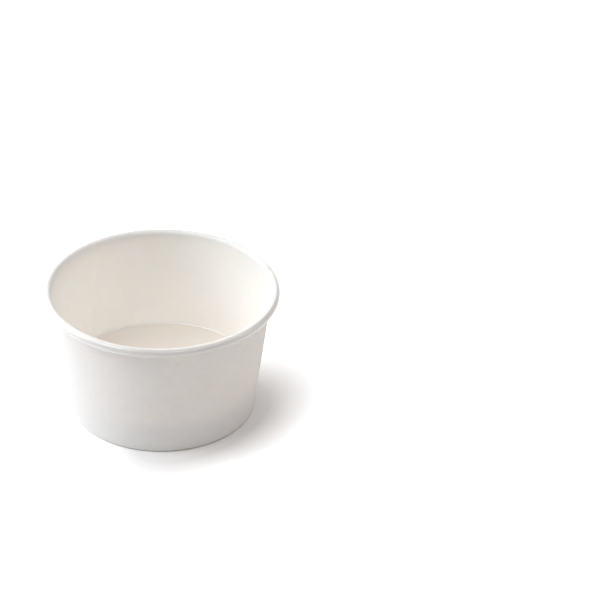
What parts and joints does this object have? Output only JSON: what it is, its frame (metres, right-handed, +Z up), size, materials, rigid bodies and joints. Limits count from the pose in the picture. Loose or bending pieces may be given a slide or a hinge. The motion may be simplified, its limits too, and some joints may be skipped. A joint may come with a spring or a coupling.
{
  "type": "paper sundae cup",
  "caption": "Squat round paper cup for ice cream: tapered wall with a lapped seam, outward rolled rim, and a raised floor held in the folded foot.",
  "frame": {"origin": "centre of the foot, on the surface that the cup stands on", "axes": "+Z up along the cup's axis; the side seam is at the right, 11 to 20 degrees from +X towards +Y"},
  "size_m": [0.092, 0.092, 0.052],
  "materials": {
    "side_board": "white paperboard with a thin satin coating inside",
    "bottom_board": "white paperboard with a thin satin coating on top"
  },
  "bodies": {
    "root": {"side_wall": "side_board", "bottom_disc": "bottom_board"}
  },
  "joints": []
}
